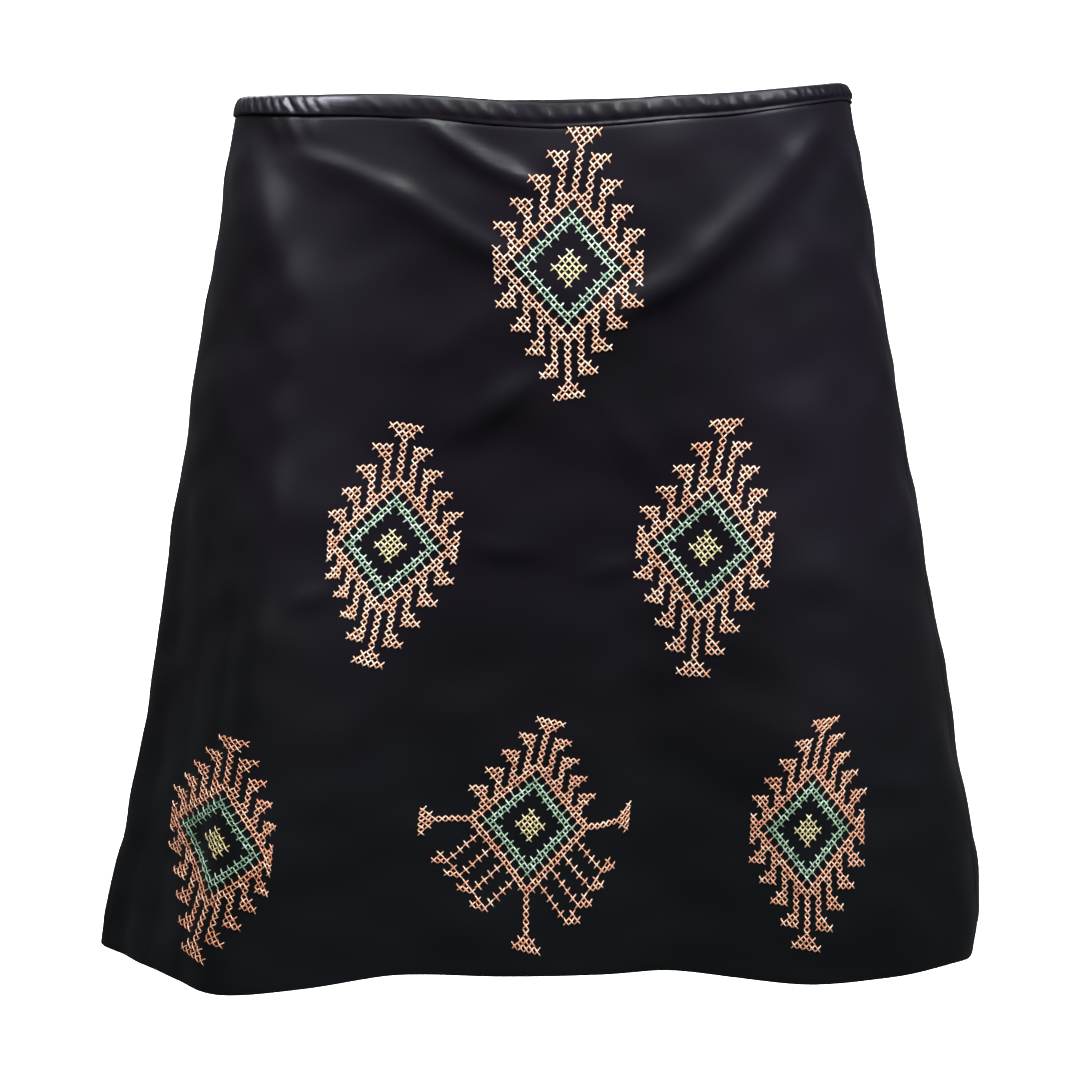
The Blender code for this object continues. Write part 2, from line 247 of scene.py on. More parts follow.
def cubic(before, start, end, after, amount):
    """Catmull-Rom blend of four neighbouring values."""
    return 0.5 * (
        2.0 * start
        + (end - before) * amount
        + (2.0 * before - 5.0 * start + 4.0 * end - after) * amount**2
        + (3.0 * start - before - 3.0 * end + after) * amount**3
    )


def along(rows, place, column):
    """Values of one column at the given places, the rows being sorted by their first."""
    rows = np.array(rows)
    keys = rows[:, 0]
    values = rows[:, column]
    place = np.clip(place, keys[0], keys[-1])
    low = np.clip(np.searchsorted(keys, place, side="right") - 1, 0, len(keys) - 2)
    amount = (place - keys[low]) / (keys[low + 1] - keys[low])
    last = len(keys) - 1
    return cubic(
        values[np.maximum(low - 1, 0)],
        values[low],
        values[low + 1],
        values[np.minimum(low + 2, last)],
        amount,
    )


def around(rows, angle, column):
    """Values of one column at the given angles, the rows going once round the skirt."""
    rows = np.array(rows)
    keys = rows[:, 0]
    values = rows[:, column]
    count = len(keys)
    angle = keys[0] + (angle - keys[0]) % 360.0
    low = np.searchsorted(keys, angle, side="right") - 1
    high = (low + 1) % count
    amount = (angle - keys[low]) / ((keys[high] - keys[low]) % 360.0)
    return cubic(values[low - 1], values[low], values[high], values[(low + 2) % count], amount)


def form(angle, drop):
    """Points on the outside of the skirt's plain form, as its solids have it."""
    angle, drop = np.broadcast_arrays(np.asarray(angle, float), np.asarray(drop, float))
    turn = np.radians(angle)
    reach = np.where(np.sin(turn) < 0.0, along(SECTIONS, drop, 1), along(SECTIONS, drop, 2))
    depth = np.where(np.cos(turn) > 0.0, along(SECTIONS, drop, 3), along(SECTIONS, drop, 4))
    way = np.stack([np.sin(turn) / reach, -np.cos(turn) / depth], -1)
    way /= np.linalg.norm(way, axis=-1, keepdims=True)
    push = around(FLUTES, angle, 1)
    push = push * smooth((drop / LENGTH - FLUTE_START) / (FLUTE_FULL - FLUTE_START))
    down = np.clip(drop / LENGTH, 0.0, 1.0)
    height = -drop + around(BAND, angle, 1) * (1.0 - down) + around(HEM, angle, 1) * down
    return np.stack(
        [
            reach * np.sin(turn) + way[..., 0] * push,
            -depth * np.cos(turn) + way[..., 1] * push,
            height,
        ],
        -1,
    )


def facing(angle, drop):
    """Directions straight out of the plain form."""
    side = form(angle + 0.05, drop) - form(angle - 0.05, drop)
    middle = np.clip(drop, 0.0005, LENGTH - 0.0005)
    rise = form(angle, middle - 0.0005) - form(angle, middle + 0.0005)
    out = np.cross(side, rise)
    return out / np.linalg.norm(out, axis=-1, keepdims=True)


def round_off(stations, steps=7):
    """The same fold with more stations, on a smooth line through them."""
    rows = np.array(stations, float)
    padded = np.concatenate([rows[:1], rows, rows[-1:]])
    share = np.linspace(0.0, 1.0, steps, endpoint=False)[:, None]
    pieces = [
        cubic(padded[i], padded[i + 1], padded[i + 2], padded[i + 3], share)
        for i in range(len(rows) - 1)
    ]
    return np.concatenate(pieces + [rows[-1:]])


def one_fold(across, down, stations):
    """Height of one fold at the given places, in millimetres."""
    rows = round_off(stations)
    ends = np.linspace(0.0, 1.0, len(rows))
    rows[:, 2] *= np.sin(np.pi * np.clip(ends, 0.02, 0.98)) ** 0.35
    result = np.zeros_like(across)
    for first, second in zip(rows[:-1], rows[1:]):
        run = second[:2] - first[:2]
        share = ((across - first[0]) * run[0] + (down - first[1]) * run[1]) / (run @ run)
        share = np.clip(share, 0.0, 1.0)
        off_x = across - first[0] - share * run[0]
        off_y = down - first[1] - share * run[1]
        over = (off_y * abs(run[0]) - off_x * run[1] * np.sign(run[0])) < 0.0
        upper = first[3] + share * (second[3] - first[3])
        lower = first[4] + share * (second[4] - first[4])
        wide = np.where(over, upper, lower)
        height = first[2] + share * (second[2] - first[2])
        value = height * np.exp(-(off_x**2 + off_y**2) / wide**2)
        result = np.where(np.abs(value) > np.abs(result), value, result)
    return result


def ripple(across, down, seed):
    """Slight unevenness that cloth never lacks, in millimetres."""
    rng = np.random.default_rng(seed)
    total = np.zeros_like(across)
    for _ in range(16):
        heading = rng.uniform(0.0, math.pi)
        length = rng.uniform(26.0, 80.0)
        shift = rng.uniform(0.0, 2.0 * math.pi)
        wave = (across * math.cos(heading) + down * math.sin(heading)) / length
        total += 0.0035 * length * np.sin(2.0 * math.pi * wave + shift)
    return total


def relief(angle, drop):
    """How far the folds lift the cloth off its plain form, in metres."""
    place = form(angle, drop)
    down = -place[..., 2] / MM
    front = np.cos(np.radians(angle))
    across = place[..., 0] / MM
    lift_front = sum(one_fold(across, down, fold) for fold in FRONT_FOLDS)
    lift_back = sum(one_fold(-across, down, fold) for fold in BACK_FOLDS)
    share = smooth(front * 4.0 + 0.5)
    lift = lift_front * share + lift_back * (1.0 - share)
    arc = np.radians(angle) * (MEAN_RADIUS / MM)
    fade = 0.3 + 0.7 * smooth((drop / MM - 10.0) / 22.0)
    # the zip and its seam hold the cloth flat at the centre back
    behind = np.abs((angle + 180.0) % 360.0 - 180.0)
    fade = fade * smooth((SEAM_BACK - behind) / 16.0)
    return (lift + ripple(arc, down, 5) * fade) * MM


def cloth(angle, drop, out=0.0):
    """Points on the outside of the satin, folds included, moved outwards by out."""
    angle, drop = np.broadcast_arrays(np.asarray(angle, float), np.asarray(drop, float))
    lift = relief(angle, drop) + out
    return form(angle, drop) + facing(angle, drop) * lift[..., None]


def band_foot(angle):
    """Drop of the waistband's lower edge, on the skirt's own scale of drop."""
    top = around(BAND, angle, 1) - around(HEM, angle, 1)
    return around(BAND, angle, 2) / (1.0 + top / LENGTH)


def spread(angle, drop):
    """Length of cloth that one degree covers."""
    return np.linalg.norm(form(angle + 0.5, drop) - form(angle - 0.5, drop), axis=-1)


# Waistband in section: share of its height, how far it stands out in millimetres, and how
# much more on the right, where its foot is rolled. It runs from inside the waist, over the
# top edge and down to its foot.
BAND_PROFILE = (
    (0.10, -1.90, 0.0),
    (0.40, -1.95, 0.0),
    (0.75, -1.95, 0.0),
    (0.92, -1.90, 0.0),
    (1.00, -1.50, 0.0),
    (1.02, -0.95, 0.0),
    (1.00, -0.45, 0.0),
    (0.94, -0.05, 0.0),
    (0.85, 0.22, 0.0),
    (0.74, 0.46, 0.0),
    (0.62, 0.66, 0.0),
    (0.50, 0.82, 0.0),
    (0.38, 0.92, 0.0),
    (0.28, 0.94, -0.10),
    (0.20, 0.90, -0.30),
    (0.14, 0.84, -0.38),
    (0.09, 0.80, -0.12),
    (0.04, 0.74, 0.16),
    (0.00, 0.62, 0.30),
    (-0.03, 0.42, 0.32),
    (-0.05, 0.20, 0.30),
    (-0.04, -0.05, 0.15),
    (0.00, -0.25, 0.0),
    (0.08, -0.45, 0.0),
)

# Threads of the medallions, by their place among the materials: the outer bands and arms,
# the ring inside them, and the middle
OUTER = 0
RING = 1
MIDDLE = 2


def tassels(cells, side):
    """Four hooked arms on each flank of the diamond, above it or below it."""
    for flank in (-1, 1):
        for step in range(1, 5):
            stem = 2 * step
            for column in range(stem, stem + 3):
                cells[(flank * column, side * (17 - 3 * step))] = OUTER
            for column in range(stem, stem + 2):
                cells[(flank * column, side * (16 - 3 * step))] = OUTER
            for row in range(11 - stem, 16 - 3 * step):
                cells[(flank * stem, side * row)] = OUTER


def post(cells, turn):
    """A straight arm with a stepped head, turned to one of the four sides."""
    for step in range(11, 16):
        cells[turn(0, step)] = OUTER
    for across in (-1, 0, 1):
        cells[turn(across, 16)] = OUTER
    for across in (-2, -1, 0, 1, 2):
        cells[turn(across, 17)] = OUTER


def ray(cells, flank, step):
    """A thin arm of single stitches that slants down to a small stepped head."""
    column = 2 * step + 1
    row = 2 * step - 11
    for count in range(4):
        cells[(flank * (column + count), row - count)] = OUTER
    for count in (4, 5, 6):
        cells[(flank * (column + count), row - 4)] = OUTER
    cells[(flank * (column + 5), row - 3)] = OUTER


def chart(kind):
    """Stitches of one medallion: column and row from its middle, and the thread."""
    cells = {}
    for column in range(-10, 11):
        for row in range(-10, 11):
            rank = abs(column) + abs(row)
            if rank in (9, 10):
                cells[(column, row)] = OUTER
            elif rank in (6, 7):
                cells[(column, row)] = RING
            elif rank <= 2:
                cells[(column, row)] = MIDDLE
    tassels(cells, 1)
    post(cells, lambda across, step: (across, step))
    post(cells, lambda across, step: (across, -step))
    if kind == "rayed":
        post(cells, lambda across, step: (step, across))
        post(cells, lambda across, step: (-step, across))
        for flank in (-1, 1):
            for step in range(1, 5):
                ray(cells, flank, step)
        return cells
    tassels(cells, -1)
    for flank in (-1, 1):
        for row in (-2, -1, 0, 1, 2):
            cells[(flank * 10, row)] = OUTER
    return cells


# Where each medallion lies on the cloth: name, chart, how pale its thread is (partly its own tone,
# partly painted shade that darkens the lower medallions), how wide a strand lies (mm), angle and
# drop of its middle (mm), then how far across and down (mm) one column and one row of stitches go.
MEDALLIONS = (
    ("medallion_top", "plain", 0.64, 0.84, 4.25, 83.3, (3.60, 0.20), (-0.20, 3.88)),
    ("medallion_middle_left", "plain", 0.65, 0.80, -23.71, 227.3, (3.44, 0.37), (-0.36, 3.47)),
    ("medallion_middle_right", "plain", 0.58, 0.80, 25.18, 229.1, (3.34, 0.16), (-0.65, 3.76)),
    ("medallion_bottom_left", "plain", 0.17, 0.72, -44.55, 376.8, (5.05, 0.44), (0.05, 3.19)),
    ("medallion_bottom_middle", "rayed", 0.42, 0.74, -1.85, 372.9, (3.08, 0.34), (-0.30, 3.52)),
    ("medallion_bottom_right", "plain", 0.35, 0.72, 36.02, 372.9, (2.76, -0.04), (-0.49, 3.43)),
)

# How the rows bend, as hand stitching on pulled cloth does. Each pair is across and down (mm):
# bow of the rows, fan of the columns, bow of the columns, then the same again at the ends.
BENDS = {
    "medallion_top": (
        (0.00, 0.06), (-0.23, -0.21), (0.15, -0.06),
        (0.02, -0.05), (0.14, -0.15), (-0.05, -0.07), (-0.03, 0.02),
    ),
    "medallion_middle_left": (
        (0.24, -0.01), (-0.29, 0.16), (-0.04, -0.02),
        (-0.05, -0.26), (0.21, -0.17), (0.01, 0.14), (-0.03, 0.02),
    ),
    "medallion_middle_right": (
        (-0.09, -0.14), (-0.19, 0.05), (0.11, 0.02),
        (0.00, 0.03), (0.02, -0.32), (0.07, -0.04), (-0.03, 0.02),
    ),
    "medallion_bottom_left": (
        (-1.60, 0.18), (-0.36, 0.21), (-0.13, 0.12),
        (0.01, 0.09), (0.31, -0.04), (0.23, -0.06), (-0.09, 0.02),
    ),
    "medallion_bottom_middle": (
        (-0.12, -0.08), (-0.10, 0.04), (0.16, 0.18),
        (0.01, -0.14), (0.02, -0.18), (-0.06, 0.12), (-0.02, 0.00),
    ),
    "medallion_bottom_right": (
        (0.28, 0.03), (-0.17, 0.19), (0.22, 0.08),
        (0.11, -0.02), (-0.02, -0.02), (0.11, 0.03), (-0.05, -0.01),
    ),
}


def laid_out(layout, column, row):
    """Angle and drop on the skirt of a place on a medallion's chart, rows counted upwards."""
    name = layout[0]
    angle, drop, along_row, along_column = layout[4:]
    x = np.asarray(column, float)
    y = -np.asarray(row, float)
    terms = (
        x * x / 10.0,
        x * y / 10.0,
        y * y / 10.0,
        x**3 / 100.0,
        x * x * y / 100.0,
        x * y * y / 100.0,
        y**3 / 100.0,
    )
    across = along_row[0] * x + along_column[0] * y
    down = along_row[1] * x + along_column[1] * y
    for term, (bend_across, bend_down) in zip(terms, BENDS[name]):
        across = across + term * bend_across
        down = down + term * bend_down
    width = spread(angle, drop * MM) / MM
    return angle + across / width, (drop + down) * MM


def sewn_on(mesh, name, material):
    """An object at the origin that holds the mesh and rides on the skirt."""
    for polygon in mesh.polygons:
        polygon.use_smooth = True
    thing = bpy.data.objects.new(name, mesh)
    bpy.context.scene.collection.objects.link(thing)
    if material is not None:
        mesh.materials.append(material)
    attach(thing, "skirt")
    return thing


def woven_sheet(name, columns, rows, spot, material):
    """A grid of cloth laid out by spot(column, row), with its thread directions in a UV map."""
    bm = bmesh.new()
    bmesh.ops.create_grid(bm, x_segments=columns, y_segments=rows, size=0.5)
    mesh = bpy.data.meshes.new(name)
    bm.to_mesh(mesh)
    bm.free()
    flat = np.empty(len(mesh.vertices) * 3)
    mesh.vertices.foreach_get("co", flat)
    flat = flat.reshape(-1, 3)
    column = np.rint((flat[:, 0] + 0.5) * columns).astype(int)
    row = np.rint((0.5 - flat[:, 1]) * rows).astype(int)
    points = spot(column, row)
    mesh.vertices.foreach_set("co", points.ravel())

    table = np.zeros((rows + 1, columns + 1, 3))
    table[row, column] = points
    across = np.linalg.norm(np.diff(table, axis=1), axis=2)
    across = np.concatenate([np.zeros((rows + 1, 1)), np.cumsum(across, axis=1)], axis=1)
    across -= across[:, columns // 2][:, None]
    down = np.linalg.norm(np.diff(table, axis=0), axis=2).mean(axis=1)
    down = np.concatenate([[0.0], np.cumsum(down)])
    corner = np.empty(len(mesh.loops), dtype=int)
    mesh.loops.foreach_get("vertex_index", corner)
    layer = mesh.uv_layers.new(name="thread")
    grain = np.stack([across[row, column], -down[row]], axis=1)[corner]
    layer.data.foreach_set("uv", grain.ravel())
    mesh.update()
    thing = sewn_on(mesh, name, material)
    cloth_wall = thing.modifiers.new("cloth", "SOLIDIFY")
    cloth_wall.thickness = SATIN
    cloth_wall.offset = -1.0
    cloth_wall.use_rim = True
    flat_area = float(cloth_area(table))
    return thing, flat_area


def cloth_area(table):
    """Area of a table of points, in square metres."""
    first = table[1:, 1:] - table[:-1, :-1]
    second = table[1:, :-1] - table[:-1, 1:]
    return 0.5 * np.linalg.norm(np.cross(first, second), axis=2).sum()


def edge_gap(drop, at_zip):
    """Half the gap that a panel leaves at a seam, wider where the zip's slider stands."""
    open_share = 1.0 - smooth((drop - 0.0260) / 0.0030)
    return 0.0011 * open_share if at_zip else 0.0


def panel(name, start, end, columns, rows, zips, node, material):
    """One flared piece of satin between two seams, turned up at the hem.

    Its grid has three parts from top to bottom: the edge tucked under the waistband, the
    cloth that shows, and the hem, each edge with its own drops and depths in millimetres.
    """
    # columns beside each seam, where the cloth dips into it
    near = (0.0, 0.5, 1.1, 2.0)
    inner = np.linspace(0.0, 1.0, columns - 5)
    fold_drop = (-0.8, -0.15, 0.0, -0.15, -0.9, -2.5, -5.0, -7.5, -9.4, -10.2, -10.5)
    fold_out = (0.0, -0.2, -0.7, -1.15, -1.4, -1.45, -1.45, -1.45, -1.4, -1.3, -1.0)
    top_drop = (-3.0, -1.2, -0.2, 0.8)
    top_out = (-1.2, -1.0, -0.45, -0.08)
    total = len(top_drop) + rows + len(fold_drop)

    def spot(column, row):
        angle = start + (end - start) * column / columns
        # the band's foot and the seams' margins both depend on the angle, so it settles in steps
        for _ in range(3):
            foot = band_foot(angle)
            share = np.clip((row - len(top_drop)) / (rows - 1), 0.0, 1.0)
            first = foot + 0.0030
            drop = first + (LENGTH - 0.0020 - first) * share
            out = np.zeros(len(row))
            for index, (fall, depth) in enumerate(zip(top_drop, top_out)):
                here = row == index
                drop = np.where(here, foot + fall * MM, drop)
                out = np.where(here, depth * MM, out)
            for index, (fall, depth) in enumerate(zip(fold_drop, fold_out)):
                here = row == len(top_drop) + rows + index
                drop = np.where(here, LENGTH + fall * MM, drop)
                out = np.where(here, depth * MM, out)
            width_low = spread(np.full(len(row), start), drop)
            width_high = spread(np.full(len(row), end), drop)
            low = start + edge_gap(drop, zips[0]) / width_low
            high = end - edge_gap(drop, zips[1]) / width_high
            margin = near[-1] * MM
            first_inner = low + margin / width_low
            last_inner = high - margin / width_high
            share = inner[np.clip(column - 3, 0, columns - 6)]
            angle = first_inner + (last_inner - first_inner) * share
            for index, side in enumerate(near):
                angle = np.where(column == index, low + side * MM / width_low, angle)
                angle = np.where(column == columns - index, high - side * MM / width_high, angle)
        # the seam and the line of hem stitches pull the cloth in
        to_edge = np.minimum(column, columns - column)
        sink = np.select([to_edge == 0, to_edge == 1, to_edge == 2], [0.34, 0.07, 0.01], 0.0)
        stitched = 0.14 * np.exp(-(((drop - LENGTH) / MM + 10.3) / 1.6) ** 2)
        outside = out > -0.0004
        return cloth(angle, drop, out - (sink + np.where(outside, stitched, 0.0)) * MM)

    thing, area = woven_sheet(name, columns, total - 1, spot, material)
    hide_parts(node)
    return thing, area


def zip_tape(side, material):
    """One of the zip's two tapes, sewn flat inside the centre back."""
    columns = 14
    rows = 90

    def spot(column, row):
        drop = TAPE_TOP + (TAPE_END - TAPE_TOP) * row / rows
        width = spread(SEAM_BACK, drop)
        # the tapes part around the slider
        clear = 0.0002 + 0.0034 * (1.0 - smooth((drop - SLIDER_FOOT) / 0.0040))
        across = (clear + (TAPE_WIDTH - clear) * column / columns) * side
        angle = SEAM_BACK + across / width
        # behind the seam allowance, with the slight ripple of a sewn tape
        return cloth(angle, drop, -0.0019 - 0.0003 * np.abs(np.sin(row * 0.9)))

    name = "zip_tape_right" if side > 0 else "zip_tape_left"
    thing, area = woven_sheet(name, columns, rows, spot, material)
    if side < 0:
        thing.data.flip_normals()


def zip_coil(material):
    """The closed coil of the zip, a row of small nylon loops along both tapes."""
    bm = bmesh.new()
    bmesh.ops.create_uvsphere(bm, u_segments=8, v_segments=6, radius=0.5)
    mesh = bpy.data.meshes.new("zip_coil")
    bm.to_mesh(mesh)
    bm.free()
    count = int((TAPE_END - 0.036) / COIL_PITCH)
    mesh = copies(mesh, count)
    mesh.name = "zip_coil"
    flat = np.empty(len(mesh.vertices) * 3)
    mesh.vertices.foreach_get("co", flat)
    flat = flat.reshape(count, -1, 3)
    flat[:, :, 1] -= COPY_SPACING * np.arange(count)[:, None]
    drop = COIL_TOP + COIL_PITCH * np.arange(count)
    middle = cloth(np.full(count, SEAM_BACK), drop, -0.0032)
    # each loop is 3.8 mm across the tapes, 1.1 mm thick and 0.6 mm high
    points = middle[:, None, :] + flat * np.array([0.0038, 0.0011, 0.00062])
    mesh.vertices.foreach_set("co", points.reshape(-1, 3).ravel())
    mesh.update()
    sewn_on(mesh, "zip_coil", material)


def puckers(angle, up, seed=11):
    """Height of the waistband's small slanting puckers, in millimetres."""
    rng = np.random.default_rng(seed)
    # 131 mm is the girth over a full turn in radians
    arc = np.radians(angle + 180.0) * 131.0
    total = np.zeros_like(arc)
    place = 6.0
    while place < BAND_GIRTH:
        middle = place / BAND_GIRTH * 360.0 - 180.0
        steep = 0.25 + 0.75 * math.exp(-(((middle + 42.0) / 34.0) ** 2))
        full = math.exp(-(((middle + 62.0) / 26.0) ** 4))
        height = rng.uniform(0.5, 1.3) * (1.0 - 2.0 * full)
        wide = rng.uniform(1.4, 3.0) * (1.0 - 0.45 * full)
        lean = -10.0 * steep * rng.uniform(0.6, 1.25)
        centre = place + lean * (up - 0.5)
        where = rng.uniform(0.40, 0.65)
        total += height * np.exp(-(((arc - centre) / wide) ** 2) - ((up - where) / 0.50) ** 2)
        place += rng.uniform(*PUCKER_SPACING)
    return total


def waistband(material):
    """The narrow band, rolled along its foot, its two ends meeting over the zip."""
    columns = 660
    profile = np.array(BAND_PROFILE)
    start = SEAM_BACK - 360.0

    def spot(column, row):
        gap = 0.00003 / spread(SEAM_BACK, 0.005)
        angle = start + gap + (360.0 - 2.0 * gap) * column / columns
        up = profile[row, 0]
        rolled = smooth((angle + 26.0) / 44.0) * smooth((200.0 - angle) / 60.0)
        out = profile[row, 1] + profile[row, 2] * rolled
        drop = band_foot(angle) * (1.0 - up)
        full = np.exp(-(((angle + 62.0) / 26.0) ** 4))
        crown = np.sin(np.pi * np.clip(up, 0.0, 1.0))
        out = out + 0.3 * full * crown * np.where(out > 0.0, 1.0, 0.0)
        # on the left the cloth under the roll pushes its foot out
        lean = np.interp(row, (6, 17, 18, 21), (0.0, 1.0, 0.9, 0.0))
        out = out + 1.5 * full * lean
        front = np.clip(out, 0.0, 1.0)
        lift = puckers(angle, up) * front * np.where(up > 0.2, 1.0, 0.35)
        turn = np.radians(angle)
        wander = 0.12 * np.sin(turn * 23.0) + 0.1 * np.sin(turn * 37.0 + 1.0)
        out = out + lift + wander * np.clip(out, 0.0, 1.0)
        points = form(angle, np.clip(drop, 0.0, LENGTH))
        points[:, 2] += np.maximum(-drop, 0.0)
        return points + facing(angle, np.clip(drop, 0.0, LENGTH)) * (out * MM)[:, None]

    thing, area = woven_sheet("waistband_cloth", columns, len(profile) - 1, spot, material)
    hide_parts("waistband")
    return thing, area


def strand(name):
    """One thread of a cross stitch, a unit long and wide, lying along X."""
    bm = bmesh.new()
    bmesh.ops.create_cone(bm, cap_ends=True, segments=6, radius1=0.5, radius2=0.5, depth=1.0)
    for cut in (-0.36, -0.16, 0.0, 0.16, 0.36):
        bmesh.ops.bisect_plane(
            bm,
            geom=bm.verts[:] + bm.edges[:] + bm.faces[:],
            dist=0.0001,
            plane_co=Vector((0.0, 0.0, cut)),
            plane_no=Vector((0.0, 0.0, 1.0)),
        )
    bmesh.ops.rotate(
        bm,
        verts=bm.verts[:],
        cent=Vector((0.0, 0.0, 0.0)),
        matrix=lying_down(),
    )
    mesh = bpy.data.meshes.new(name)
    bm.to_mesh(mesh)
    bm.free()
    return mesh


def lying_down():
    """Turn that lays the Z axis along X."""
    return Vector((0.0, 0.0, 1.0)).rotation_difference(Vector((1.0, 0.0, 0.0))).to_matrix()


def copies(mesh, count):
    """The mesh repeated by an array, made real."""
    thing = bpy.data.objects.new("copies", mesh)
    bpy.context.scene.collection.objects.link(thing)
    array = thing.modifiers.new("array", "ARRAY")
    array.count = count
    array.use_relative_offset = False
    array.use_constant_offset = True
    array.constant_offset_displace = (0.0, COPY_SPACING, 0.0)
    ready = bpy.context.evaluated_depsgraph_get()
    made = bpy.data.meshes.new_from_object(thing.evaluated_get(ready))
    bpy.data.objects.remove(thing)
    return made


def medallion(layout, threads, seed):
    """One medallion of cross stitches: two strands a square, the second lying over the first."""
    name, kind, pale, wide = layout[:4]
    rng = np.random.default_rng(seed)
    cells = sorted(chart(kind).items())
    starts = []
    ends = []
    thread = []
    over = []
    for (column, row), colour in cells:
        slack = rng.normal(0.0, 0.035, (2, 2, 2))
        corners = (((-0.5, -0.5), (0.5, 0.5)), ((-0.5, 0.5), (0.5, -0.5)))
        for order, (first, last) in enumerate(corners):
            loose = slack[order]
            starts.append((column + first[0] + loose[0, 0], row + first[1] + loose[0, 1]))
            ends.append((column + last[0] + loose[1, 0], row + last[1] + loose[1, 1]))
            thread.append(colour)
            over.append(order)
    starts = np.array(starts)
    ends = np.array(ends)
    over = np.array(over)
    count = len(starts)

    mesh = copies(strand("strand"), count)
    flat = np.empty(len(mesh.vertices) * 3)
    mesh.vertices.foreach_get("co", flat)
    flat = flat.reshape(count, -1, 3)
    flat[:, :, 1] -= COPY_SPACING * np.arange(count)[:, None]
    share = flat[:, :, 0] + 0.5
    chart_place = starts[:, None, :] + (ends - starts)[:, None, :] * share[..., None]
    angle, drop = laid_out(layout, chart_place[..., 0], chart_place[..., 1])
    shape = share.shape
    base = cloth(angle.ravel(), drop.ravel()).reshape(shape + (3,))
    out = facing(angle.ravel(), drop.ravel()).reshape(shape + (3,))
    ahead = share + 0.05
    chart_next = starts[:, None, :] + (ends - starts)[:, None, :] * ahead[..., None]
    angle_next, drop_next = laid_out(layout, chart_next[..., 0], chart_next[..., 1])
    way = form(angle_next.ravel(), drop_next.ravel()) - form(angle.ravel(), drop.ravel())
    way = way.reshape(shape + (3,))
    side = np.cross(out, way)
    side /= np.linalg.norm(side, axis=-1, keepdims=True)

    fat = rng.uniform(0.92, 1.1, count)[:, None]
    arch = np.sin(np.pi * np.clip(share, 0.0, 1.0)) ** 0.6
    half_width = 0.5 * wide * MM * fat * (0.66 + 0.34 * arch)
    thick = STRAND_THICK * MM * fat
    above = SECOND_STRAND[0] + SECOND_STRAND[1] * arch**2
    below = FIRST_STRAND[0] + FIRST_STRAND[1] * arch
    rise = np.where(over[:, None] == 1, above, below) * MM
    # both ends go down through the cloth
    rise = rise - (1.0 - arch) ** 2 * STRAND_DIP * MM
    points = (
        base
        + side * (flat[:, :, 1] * 2.0 * half_width)[..., None]
        + out * (rise + flat[:, :, 2] * 2.0 * thick)[..., None]
    )
    mesh.vertices.foreach_set("co", points.reshape(-1, 3).ravel())

    corner = np.empty(len(mesh.loops), dtype=int)
    mesh.loops.foreach_get("vertex_index", corner)
    length = np.linalg.norm(way, axis=-1) / 0.05
    around_it = np.arctan2(flat[:, :, 2], flat[:, :, 1]) / (2.0 * math.pi)
    twist = np.stack([share * length.mean(axis=1, keepdims=True), around_it], axis=-1)
    layer = mesh.uv_layers.new(name="twist")
    layer.data.foreach_set("uv", twist.reshape(-1, 2)[corner].ravel())
    tone = mesh.attributes.new("tone", "FLOAT", "POINT")
    # each medallion's paleness carries painted shade, darker low on the skirt, plus a random tone
    # for each stitch
    shades = pale + rng.uniform(-0.45, 0.45, count)
    tone.data.foreach_set("value", np.repeat(shades, shape[1]))
    faces = len(mesh.polygons) // count
    sewn_on(mesh, name, None)
    for material in threads:
        mesh.materials.append(material)
    mesh.polygons.foreach_set("material_index", np.repeat(np.array(thread), faces))
    mesh.update()


def linear(colour):
    """Linear RGBA of an sRGB hex colour."""
    values = [int(colour[i : i + 2], 16) / 255.0 for i in (0, 2, 4)]
    values = [v / 12.92 if v <= 0.04045 else ((v + 0.055) / 1.055) ** 2.4 for v in values]
    return (*values, 1.0)


def add(tree, kind, settings=None, links=None):
    """Adds a node, with its settings, and its inputs linked or set."""
    node = tree.nodes.new(kind)
    for name, value in (settings or {}).items():
        setattr(node, name, value)
    for socket, value in (links or {}).items():
        if isinstance(value, bpy.types.NodeSocket):
            tree.links.new(value, node.inputs[socket])
        else:
            node.inputs[socket].default_value = value
    return node


def blank(name):
    """A material with only its shader and output, its tree and its shader."""
    material = bpy.data.materials.new(name)
    material.use_nodes = True
    tree = material.node_tree
    return material, tree, tree.nodes["Principled BSDF"]


def ramp(tree, amount, stops):
    """Colours from a number, through a colour ramp with the given stops."""
    node = add(tree, "ShaderNodeValToRGB", {}, {"Fac": amount})
    node.color_ramp.elements[0].position = stops[0][0]
    node.color_ramp.elements[0].color = linear(stops[0][1])
    node.color_ramp.elements[1].position = stops[-1][0]
    node.color_ramp.elements[1].color = linear(stops[-1][1])
    for place, colour in stops[1:-1]:
        node.color_ramp.elements.new(place).color = linear(colour)
    return node


def noise(tree, where, scale, detail):
    """A soft random pattern."""
    return add(
        tree, "ShaderNodeTexNoise", {}, {"Vector": where, "Scale": scale, "Detail": detail}
    )


def maths(tree, operation, *values):
    """The result of one sum on numbers of the node tree."""
    node = add(tree, "ShaderNodeMath", {"operation": operation}, dict(enumerate(values)))
    return node.outputs["Value"]


def raise_up(tree, shader, height, strength, distance):
    """Raises a fine pattern in the finish."""
    bump = add(
        tree,
        "ShaderNodeBump",
        {},
        {"Height": height, "Strength": strength, "Distance": distance},
    )
    tree.links.new(bump.outputs["Normal"], shader.inputs["Normal"])


